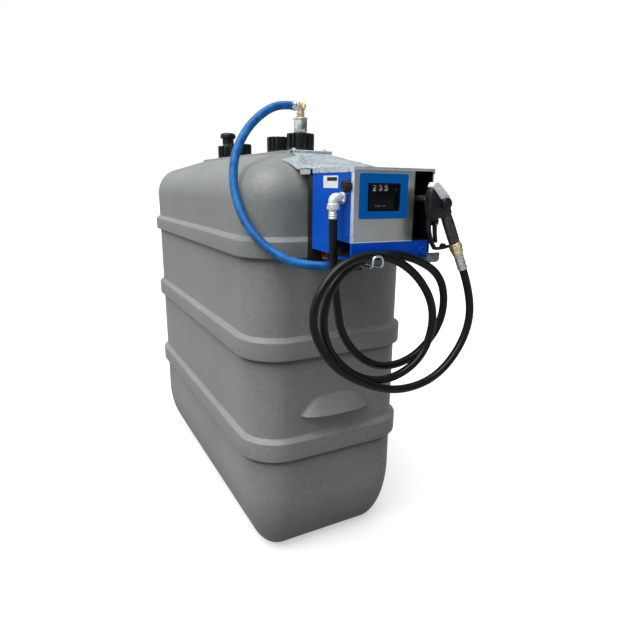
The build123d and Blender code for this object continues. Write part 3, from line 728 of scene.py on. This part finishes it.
rows = []
for k, (y, z) in enumerate(line):
    (y0, z0), (y1, z1) = line[max(k - 1, 0)], line[min(k + 1, len(line) - 1)]
    size = math.hypot(y1 - y0, z1 - z0)
    up_y, up_z = sheet * (z1 - z0) / size, -sheet * (y1 - y0) / size
    xs = [half_at(y) * (i / 8 - 1) for i in range(17)]
    rows.append([(x, y + up_y, z + up_z) for x in xs] + [(x, y, z) for x in reversed(xs)])
plate = tube(rows)
for x in (-162, 165):
    lip = prism(rounded_loop([(-816, 3), (-898, 3), (-898, -18), (-822, -18)], [1, 1, 4, 4], 3), 3, 0.8, 1)
    pour(plate, lip, moved(0, 0, shelf) @ beside(x))
for x in (-70, 70):
    pour(plate, bolt((x, -573, 1718), UP))
for x, y in ((-110, -865), (110, -865), (-110, -830), (110, -830)):
    pour(plate, bolt((x, y, shelf + 3), UP, 6.5, 4.5, 8.5))
piece("bracket_sheet", plate, galvanised_steel, "bracket_plate")

# Black rear tray, partly a real black tray and partly a dark sheet that paints the shade of the gap between the
# tank and the housing
tray = open_box((-152, 152), (-905, -859), (1300, 1633.5), -905, 0.8)
for z in (1340, 1470, 1600):
    for x in (-135, 135):
        pour(tray, bolt((x, -905 + WALL, z), BACK, 6, 4, 8))
piece("black_tray_and_painted_gap_shade", tray, black_paint, "rear_plate")

# Housing sheets
low_roof, top_roof = 1635.5, 1637
lx, rx, fy, ry = -157, 160, -1180, -905
hood = bmesh.new()
pour(hood, block((lx - 1.5, rx + 1.5), (fy - 1.5, ry), (low_roof, top_roof), 0.6))
for x in (lx - 1.5, rx):
    edge_line = [(ry, 0), (ry, -15.5)]
    for at in (-955, -1020, -1085, -1150):
        edge_line += [(at + 4, -15.5), (at + 3, -12.5), (at - 3, -12.5), (at - 4, -15.5)]
    edge_line += [(fy - 1.5, -15.5), (fy - 1.5, 0)]
    pour(hood, prism(edge_line, 1.5), moved(0, 0, low_roof) @ beside(x + 1.5))
pour(hood, block((lx, rx), (fy - 1.6, fy - 0.1), (1628.5, top_roof - 0.5), 0.5))
for x, y in ((-120, -930), (-120, -1150), (120, -930), (120, -1150)):
    pour(hood, screw((x, y, top_roof), UP))
piece("housing_hood", hood, galvanised_steel, "dispenser_roof")

outline = [(ry, 1355), (-1055, 1352), (-1058, 1404), (-1164, 1399), (-1164, low_roof), (ry, low_roof)]
side = prism(rounded_loop(outline, [3, 3, 4, 3, 1, 1], 3), 2, 0.6, 1)
side.transform(beside(lx + 2))
pour(side, block((lx, lx + 14), (ry - 2, ry), (1355, low_roof), 0.6))
for y, z in ((-925, 1615), (-925, 1385), (-1035, 1372), (-1145, 1420)):
    pour(side, screw((lx, y, z), LEFT, 4.8, 2.6))
piece("left_side_sheet", side, blue_paint, "side_panel_left")

side = block((rx - 2, rx), (fy + 2, ry), (1355, low_roof), 0.7)
pour(side, block((rx - 14, rx), (ry - 2, ry), (1355, low_roof), 0.6))
for y, z in ((-925, 1615), (-925, 1385), (-1145, 1615), (-1145, 1385)):
    pour(side, screw((rx, y, z), RIGHT, 4.8, 2.6))
for k in range(7):
    slot = tint(prism(rounded_box(75, 6, 2.9), 0.4), 1)
    pour(side, slot, aim((rx, -1010, 1440 + 16 * k), BACK, RIGHT))
piece("right_side_sheet", side, [blue_paint, black_paint], "side_panel_right")

# Stainless front with its window
hole = [(-107, 1498), (24, 1498), (24, 1590), (-107, 1590)]
front = prism([(lx, 1400), (80, 1400), (80, low_roof), (lx, low_roof)], 1.5, 0.5, 1, hole=hole)
front.transform(facing(fy + 1.5))
# The left and bottom folds take the lighter steel copy, a painted highlight along the bends
pour(front, tint(block((lx - 0.4, lx + 2.2), (fy - 0.3, fy + 16), (1400, low_roof), 0.8, 3), 1))
pour(front, block((78.5, 80), (fy, fy + 16), (1400, low_roof), 0.6))
pour(front, tint(block((lx, 80), (fy - 0.6, fy + 16), (1400, 1403.2), 1, 3), 1))
for x, z in ((-149, 1410), (70, 1410), (-149, 1626), (70, 1626)):
    pour(front, screw((x, fy, z), FRONT, 3.5, 1.6))
piece("stainless_front", front, [stainless, fold_painted_highlight], "front_panel")

# Meter face with number drums
rim = prism(rounded_box(190, 142, 8, -42, 1547), 1.1, 0.4, 1, hole=rounded_box(127, 88, 3, -41.5, 1544))
rim.transform(facing(fy))
piece("meter_surround", rim, meter_blue, "meter_frame")


# Lines of the plain numbers on the meter's drums, in hundredths of their width and height
SEGMENTS = {
    "0": [(50, 100), (22, 88), (12, 50), (22, 12), (50, 0), (78, 12), (88, 50), (78, 88), (50, 100)],
    "1": [(30, 80), (55, 100), (55, 0)],
    "2": [(15, 80), (25, 95), (50, 100), (75, 95), (85, 78), (78, 58), (15, 0), (87, 0)],
    "3": [(15, 86), (35, 100), (65, 100), (85, 84), (80, 62), (50, 53), (82, 44), (88, 20), (68, 0), (35, 0),
          (12, 14)],
    "4": [(68, 0), (68, 100), (12, 32), (90, 32)],
    "5": [(82, 100), (22, 100), (18, 58), (50, 64), (82, 52), (88, 26), (68, 2), (36, 0), (12, 14)],
    "7": [(12, 100), (88, 100), (42, 0)]}


def digit(sign, x, z, w, h, width, y):
    points = [Vector((x + w * px / 100, z + h * pz / 100)) for px, pz in SEGMENTS[sign]]
    bm = bmesh.new()
    for a, b in zip(points, points[1:]):
        u = (b - a).normalized() * width / 2
        v = Vector((-u.y, u.x))
        pour(bm, prism([a - u * 0.6 + v, a - u * 0.6 - v, b + u * 0.6 - v, b + u * 0.6 + v], 0.3))
    bm.transform(facing(y))
    return bm


mx, mz = (-107, 24), (1498, 1590)
meter = bmesh.new()
pour(meter, block((mx[0] + 0.3, mx[1] - 0.3), (fy + 3.2, fy + 70), (mz[0] + 0.3, mz[1] - 0.3), 0.8))
bezel = prism(rounded_box(129.6, 90.8, 2.5, -41.5, 1544), 3.4, 0.6, 2,
    hole=rounded_box(115, 77, 2, -41.5, 1544))
pour(meter, bezel, facing(fy + 3.4))
for k, sign in enumerate("235"):
    x = -78 + 22.5 * k
    pour(meter, tint(prism(rounded_box(19.5, 22.5, 1.5, x, 1574), 0.4), 2), facing(fy + 3.3))
    pour(meter, tint(digit(sign, x - 6, 1565.5, 12, 17, 2.6, fy + 2.9), 1))
for k, sign in enumerate("0027145"):
    x = -73.5 + 6.2 * k
    pour(meter, tint(digit(sign, x, 1514.3, 4, 5.6, 0.7, fy + 3.2), 3))
window = prism(rounded_box(50, 11, 1, -52, 1516.9), 1.2, 0.3, 1, hole=rounded_box(47, 9, 1, -52, 1516.9))
pour(meter, window, facing(fy + 3.4))
for x in (mx[0] + 5.5, mx[1] - 5.5):
    for z in (mz[0] + 5.5, mz[1] - 5.5):
        pour(meter, screw((x, fy + 0.3, z), FRONT, 2.4, 0.9))
piece("meter_face", meter, [meter_black, white_print, drum_black, faint_print], "meter_body")

# Reset knob with a lobed rim and a hub: radius, depth of the lobes, height
levels = [(14.5, 0, 1), (15, 0, 6), (16.5, 1.2, 7.5), (17.8, 2, 9), (18, 2, 24), (17.2, 1.4, 26.2),
    (15.5, 0, 27.2), (12, 0, 27.2), (11.2, 0, 26.2), (7, 0, 26.2), (6.6, 0, 28.5), (5.5, 0, 28.9)]
lobes, lobe_steps = 12, 8
waves = [0.5 + 0.5 * cos(2 * pi * i / lobe_steps) for i in range(lobes * lobe_steps)]
knob = tube([polar([r + deep * wave for wave in waves], z) for r, deep, z in levels])
pour(knob, lathe([(0, -6), (4, -6), (4, 2), (0, 2)], 24))
pour(knob, block((-0.8, 0.8), (9, 14.5), (26.8, 27.7), 0.2))
outward(knob)
knob.transform(aim((lx, -1158, 1578), UP, LEFT))
piece("ribbed_knob", knob, black_plastic, "reset_knob", "meter_reset", 28)

# Bare label
label = prism(rounded_box(98, 40, 3), 0.5, 0.1, 1)
pour(label, tint(prism(rounded_box(66, 12, 1, -10, 9), 0.8), 1))
label.transform(moved(0, -1033, 1590.5) @ beside(lx))
piece("bare_label", label, [label_white, black_plastic], "label_plate")

# Apron with its boss and tab
ax, az = (-157, 150), (1342, 1400)
apron = bmesh.new()
front_sheet = prism(rounded_loop([(ax[0], az[0]), (ax[1], az[0]), (ax[1], az[1]), (ax[0], az[1])],
    [3, 10, 1, 1], 4), 2, 0.7, 2)
pour(apron, front_sheet, facing(fy + 2))
pour(apron, block(ax, (fy, -1060), (az[0], az[0] + 2), 0.7))
pour(apron, block((ax[0], ax[0] + 2), (fy, fy + 14), az, 0.7))
pour(apron, block((ax[1] - 2, ax[1]), (fy, fy + 60), (az[0], az[1] - 2), 0.7))
boss = spun([(0, -1), (16.5, -1), (16.5, 3), (14.5, 4.5), (8.5, 4.8), (7.8, 3.5), (0, 3.2)], 0.8, 3, 40)
pour(apron, boss, aim((130, fy, 1366), RIGHT, FRONT))
pour(apron, tint(prism(rounded_box(26, 9, 1.2, 73, 1352), 1.2, 0.3, 1), 1), facing(fy))
for x in (-147, -5):
    pour(apron, screw((x, fy, 1392), FRONT, 3.8, 1.8))
piece("blue_apron", apron, [dark_blue_paint, pale_patch], "apron")

# Pump, motor and inlet
pump = block((-118, -20), (-1040, ry), (1284.5, 1400), 6, 3)
for y in range(-1028, -928, 20):
    pour(pump, block((-119.5, -100), (y, y + 5), (1345, 1396), 1.2))
for y, z in ((-1030, 1296), (-930, 1296), (-1030, 1335), (-930, 1335)):
    pour(pump, bolt((-118, y, z), LEFT, 5, 3.5, 6.5))
pour(pump, spun([(0, -2), (28, -2), (28, 4), (25, 6.2), (0, 6.2)], 1, 3, 40),
    aim((-118, -985, 1312.5), BACK, LEFT))
pour(pump, tint(prism(rounded_box(52, 18, 2, -934, 1335), 0.6), 1), beside(-119.5))
pour(pump, tint(prism(rounded_box(40, 4, 1, -934, 1321.5), 0.6), 2), beside(-118.5))
piece("pump_casting", pump, [pump_iron, orange_patch, pale_patch], "pump_body")

motor = spun([(0, 0), (55, 0), (62, 4), (62, 12), (58, 14), (58, 120), (62, 122), (62, 134), (52, 146),
    (20, 150), (0, 150)], 2, 3, 56)
spokes(motor, 28, (56.5, 61.8), (-1, 1), (16, 118), 0.4)
motor.transform(aim((-20, -975, 1400), BACK, RIGHT))
pour(motor, block((30, 100), (-1020, ry), (1345, 1380), 3, 3))
piece("finned_motor", motor, pump_iron, "pump_motor")
inlet = spun([(0, 0), (19.5, 0), (21, 1.2), (21, 5.8), (19.5, 7), (0, 7)], 0.8, 3, 44)
spokes(inlet, 10, (19.5, 21.3), (-2.2, 2.2), (0.8, 6.2), 0.5)
inlet.transform(aim((-118, -985, 1300), BACK, LEFT))
piece("inlet_ring", inlet, zinc, "pump_inlet")

# Outlet elbow, union ring and ferrule
ox, oy, oz = -195, -1120, 1540
fitting = pipe(smooth_path([(lx - 4, oy, oz), (ox, oy, oz), (ox, oy, 1514)], 24, 12), 16.6, 36)
bead = soften([(0, 0), (17.8, 0), (19.6, 1.5), (19.6, 7.5), (17.8, 9), (0, 9)], 1, 3)
pour(fitting, lathe(bead, 40), aim((lx, oy, oz), BACK, LEFT))
pour(fitting, lathe(bead, 40), aim((ox, oy, 1514), BACK, UP))
pour(fitting, spun([(0, 0), (4.5, 0), (4.5, 12), (3, 14), (0, 14)], 0.6, 2, 20),
    aim((lx - 12, oy - 12, oz - 6), UP, (0, -1, -0.25)))
piece("iron_elbow", fitting, cast_zinc, "outlet_elbow")
union = spun([(0, 0), (19.5, 0), (21, 1), (21, 4.5), (18.5, 5.2), (18.5, 6.2), (21, 7), (20.5, 10), (0, 10)],
    0.6, 2, 44)
spokes(union, 8, (18.8, 21.2), (-3, 3), (1, 9.2), 0.6)
union.transform(moved(ox, oy, 1504))
piece("union_collar", union, cast_zinc, "union_ring")


def ferrule(length, at, x_dir, z_dir):
    r = 16.8
    line = [(0, 0), (r - 0.6, 0), (r, 1.2)]
    for share in (0.22, 0.47, 0.72):
        crimp = length * share
        line += [(r, crimp - 3), (r - 1.1, crimp - 1.2), (r - 1.1, crimp + 2), (r, crimp + 3.6)]
    line += [(r, length - 1.6), (r - 0.8, length), (13.5, length)]
    bm = spun(line, 0.6, 2, 44)
    bm.transform(aim(at, x_dir, z_dir))
    return bm


low_ferrule = ferrule(30, (ox, oy, 1504), RIGHT, (0, 0, -1))
piece("outlet_clamp", low_ferrule, zinc, "outlet_ferrule")

# Nozzle boot
boot = open_box((80, 158), (fy, -1090), (1400, low_roof), -1090 - WALL, 0.7)
for k in range(5):
    x = 86.5 + 12.5 * k
    pour(boot, block((x, x + 1.6), (-1096.5, -1092.5), (1404, 1500), 0.4))
bush = soften([(12.2, 0), (15.8, 0), (15.8, 44), (14.8, 46), (12.2, 46)], 1, 2)
pour(boot, lathe(bush + bush[:1], 40), aim((118, -1092.5, 1540), RIGHT, FRONT))
trim = prism([(155.5, 1400), (158.5, 1400), (158.5, 1632), (155.5, 1632)], 1.2, 0.3, 1)
pour(boot, tint(trim, 1), facing(fy + 0.6))
piece("nozzle_pocket", boot, [black_plastic, pale_patch], "nozzle_boot")

# Hose hook under the apron
hx0, hx1, hz = -87, -125, 1329
rod = smooth_path([(hx0, -1120, hz), (hx0, -1252, hz), (hx0, -1252, hz + 36), (hx1, -1252, hz + 36),
    (hx1, -1252, hz), (hx1, -1120, hz)], 17, 8)
hook = pipe(rod, 3.8, 16)
pour(hook, tint(block((hx1 - 12, hx0 + 12), (-1160, -1110), (hz, az[0]), 1.2), 1))
piece("hose_ring", hook, [zinc, black_paint], "hose_hook")

# Galvanised rest under the nozzle, in a darker galvanised look that paints in the shade it stands in
rest_line = rounded_loop([(150, 1322), (208, 1322), (208, 1356), (150, 1356)], [1, 16, 4, 1], 6)
rest = prism(rest_line, 2, 0.6, 2)
rest.transform(facing(fy + 2))
pour(rest, block((150, 152), (fy, fy + 50), (1322, 1356), 0.6))
piece("corner_rest", rest, galvanised_painted_shade, "nozzle_rest")

# Nozzle, drawn looking along +Y and given its depth both ways
ny = -1240


def slab(outline, half_depth, bevel, segments=3, hole=()):
    bm = prism(outline, 2 * half_depth, bevel, segments, hole)
    bm.transform(facing(ny + half_depth))
    return bm


# Slices of an outline that draw in toward both faces
def domed(outline, half_depth, steps=6):
    mx, mz = [sum(axis) / len(outline) for axis in zip(*outline)]
    rows = []
    for k in range(-steps, steps + 1):
        t = k / steps
        share = 0.8 + 0.2 * (1 - abs(t) ** 2.6) ** 0.55
        rows.append([(mx + (x - mx) * share, ny + half_depth * t, mz + (z - mz) * share) for x, z in outline])
    return tube(rows)


body_line = rounded_loop([(84, 1545), (88, 1566), (95, 1579), (134, 1540), (166, 1539), (178, 1520),
    (188.9, 1494.3), (153.3, 1476.1), (134, 1479), (104, 1466), (91, 1490), (85, 1520)],
    [8, 6, 4, 6, 10, 10, 6, 6, 8, 8, 10, 10], 4)
gun = domed(body_line, 17)
rib_line = rounded_loop([(103, 1477), (126, 1492), (134, 1520), (104, 1553), (95, 1548), (92, 1512)], 6, 3)
ear_line = rounded_loop([(116, 1478), (132, 1478), (132, 1458), (124, 1452), (116, 1458)], 4, 3)
for y in (-16.4, 17.8):
    pour(gun, prism(rib_line, 1.4, 0.7), facing(ny + y))
for y in (-6.8, 11):
    pour(gun, prism(ear_line, 4, 0.8), facing(ny + y))
pin = spun([(0, -11.8), (3.6, -11.8), (3.6, -10.5), (2.8, -10.2), (2.8, 10.2), (3.6, 10.5), (3.6, 11.8),
    (0, 11.8)], 0.4, 2, 24)
pour(gun, tint(pin, 1), aim((124, ny, 1460), RIGHT, FRONT))
piece("gun_body", gun, [black_plastic, zinc], "nozzle_body", angle=40)

cover_line = rounded_loop([(95, 1579), (103, 1594), (120, 1592), (172, 1548), (166, 1539), (134, 1540)],
    [3, 5, 6, 8, 3, 6], 4)
cover = slab(cover_line, 14, 4, 4)
for k in range(5):
    at = aim((124 + 10 * k, ny, 1588.6 - 8.46 * k), (0.763, 0, -0.646), (0.646, 0, 0.763))
    pour(cover, block((-1.2, 1.2), (-12, 12), (-0.6, 0.8), 0.4), at)
piece("gun_cover", cover, grey_cover, "nozzle_cover", angle=40)

cap = spun([(0, -2), (18.5, -2), (20, 0), (20, 5.5), (18, 8), (12.5, 8.6), (11.5, 7.4), (9.5, 7.4), (8.8, 8.8),
    (0, 9)], 0.7, 3, 48)
cap.transform(aim((153, ny - 17, 1526), RIGHT, FRONT))
piece("gun_cap", cap, black_plastic, "nozzle_cap")

# Grip: distance along it, width and depth of its rounded sections
gs, gd = Vector((162, ny, 1503)), Vector((0.455, 0, -0.8905)).normalized()
side_dir = Vector((gd.z, 0, -gd.x))
sections = [(6, 30, 26), (14, 34.5, 30), (24, 37.5, 31.5), (45, 39.5, 32), (75, 40, 32), (100, 39.8, 31.8),
    (112, 39.2, 31.5), (117, 38, 31), (120.5, 35, 29), (121, 30, 26)]
oval_power, oval_steps = 2.4, 40


def bulged(share, size):
    return math.copysign(abs(share) ** (2 / oval_power), share) * size / 2


rows = []
for t, wide, deep in sections:
    turn = [2 * pi * i / oval_steps for i in range(oval_steps)]
    rows.append([gs + gd * t + side_dir * bulged(cos(a), wide) + Y * bulged(sin(a), deep) for a in turn])
handle = tube(rows)
for side in (-1, 1):
    for shift in (-8, 0, 8):
        strip = block((30, 108), (-1.1, 1.1), (0, 0.9), 0.4)
        pour(handle, strip, aim(gs + side_dir * shift + Y * side * 15.7, gd, Y * side))
piece("gun_grip", outward(handle), grip_rubber, "nozzle_grip", angle=40)

fitting = spun([(0, 120), (19, 120), (20.5, 121.5), (20.5, 127), (19, 128.5), (19, 150), (20.5, 151.5),
    (20.5, 157), (19, 159), (19, 164), (17, 168), (0, 168)], 0.8, 2, 44)
pour(fitting, prism(circle(0, 0, 22.9, 6), 16.5, 1.2, 3), moved(0, 0, 130.5))
fitting.transform(aim(gs, Y, gd))
piece("gun_swivel", fitting, brass, "nozzle_swivel")
end_ferrule = ferrule(57, gs + gd * 168, Y, gd)
piece("gun_ferrule", end_ferrule, zinc, "nozzle_ferrule")

spout = soften([(10, 0), (12, 0), (12, 106), (11.2, 107), (10, 107)], 0.6, 2)
spout = lathe(spout + spout[:1], 36)
spout.transform(aim((118, ny + 17, 1540), RIGHT, BACK))
piece("gun_spout", spout, zinc, "nozzle_spout")

guard_outer = [(96, 1480), (95, 1464), (97, 1435.5), (111.2, 1398.5), (127.5, 1375.5), (132, 1373.8),
    (166, 1375.7), (194, 1381.5)]
guard_inner = [(192, 1388.5), (166, 1384.5), (133, 1382.4), (118.8, 1401.5), (105, 1437), (103, 1464),
    (104, 1480)]
guard = slab(rounded_loop(guard_outer + guard_inner, [1, 6, 10, 10, 4, 4, 4, 1, 1, 4, 5, 10, 10, 6, 1], 4), 7.8,
    2.2, 3)
knuckle = slab(circle(166, 1386, 9.5, 28), 7.2, 1.5, 2, hole=circle(166, 1386, 4.2, 20))
pour(guard, knuckle)
piece("gun_guard", guard, black_plastic, "nozzle_guard", angle=40)

lever_out = [(118.5, 1462), (124, 1465.5), (129.5, 1462), (130.8, 1452), (132.4, 1430), (137.4, 1403),
    (134.5, 1397), (128.5, 1398.5), (121.6, 1429), (119, 1452)]
lever = slab(rounded_loop(lever_out, 3, 3), 5.8, 1.8, 3, hole=circle(124, 1460, 3.05, 20))
piece("squeeze_lever", lever, black_plastic, "nozzle_lever", body="lever", angle=40)

# Look of the inner tank, the one node that is carried over
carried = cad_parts["inner_tank"].data.materials
carried.clear()
carried.append(inner_plastic)


# Stage and light
FLOOR_GREY, FLOOR_SEEN, GLOW_SEEN, GLOW_MIRRORED = 0.2, 0.56, 0.3, 0.2
SKY_LEAN, FILL_FROM = (-0.4, 0.1, 0.55), (0.72, 0.64, 0.26)
SUN_POWER, SUN_ANGLE, SUN_WAY = 3.55, radians(60), Vector((0.43, 0.145, -0.89))


# Camera rays, and those together with rays by reflection or through glass
def seen_directly(tree):
    kind = tree.nodes.new("ShaderNodeLightPath").outputs
    camera_ray = kind["Is Camera Ray"]
    mirrored = maths(tree, "MAXIMUM", camera_ray, kind["Is Glossy Ray"])
    return camera_ray, maths(tree, "MAXIMUM", mirrored, kind["Is Transmission Ray"])


floor_mesh = bpy.data.meshes.new("floor")
floor_mesh.from_pydata([(-30, -30, 0), (30, -30, 0), (30, 60, 0), (-30, 60, 0)], [], [(0, 1, 2, 3)])
floor = in_scene("floor", floor_mesh)
ground, tree, soft = shader("pale_floor", (1, 1, 1), 0.9, specular=0)
camera_ray, any_seen = seen_directly(tree)
glow = maths(tree, "MULTIPLY_ADD", camera_ray, GLOW_SEEN, maths(tree, "MULTIPLY", any_seen, GLOW_MIRRORED))
feed(tree, soft, {"Base Color": mix(tree, [FLOOR_GREY] * 3, [FLOOR_SEEN] * 3, camera_ray),
                  "Emission Color": (1, 1, 1, 1), "Emission Strength": glow})
floor_mesh.materials.append(ground)

# The surroundings: soft light for surfaces, a brighter sky for reflections, white for the camera
world = bpy.data.worlds.new("studio")
bpy.context.scene.world = world
world.use_nodes = True
tree = world.node_tree
camera_ray, any_seen = seen_directly(tree)
place = tree.nodes.new("ShaderNodeTexCoord").outputs["Generated"]
half_way = maths(tree, "MULTIPLY_ADD", dot(tree, place, SKY_LEAN), 0.5, 0.5)
ambient = ramp(tree, half_way, [(0.3, (0.06, 0.07, 0.08)), (0.58, (0.2, 0.21, 0.22)),
    (0.82, (0.58, 0.6, 0.62))])
fill = ramp(tree, dot(tree, place, FILL_FROM), [(0.05, (0, 0, 0)), (0.75, (0.5, 0.51, 0.52))])
ambient = mix(tree, ambient, fill, 1.0, "ADD")
mirror = ramp(tree, half_way, [(0.38, (0.1, 0.11, 0.12)), (0.58, (0.36, 0.38, 0.4)), (0.76, (1, 1, 1))])
tone = mix(tree, mix(tree, ambient, mirror, any_seen), (1, 1, 1), camera_ray)
tree.links.new(tone, tree.nodes["Background"].inputs["Color"])
sun_data = bpy.data.lights.new("soft_sun", "SUN")
sun_data.energy = SUN_POWER
sun_data.angle = SUN_ANGLE
sun_data.color = (1.0, 0.995, 0.98)
sun = in_scene("soft_sun", sun_data)
sun.rotation_mode = "QUATERNION"
sun.rotation_quaternion = SUN_WAY.to_track_quat("-Z", "Y")
bpy.context.scene.view_settings.view_transform = "Standard"
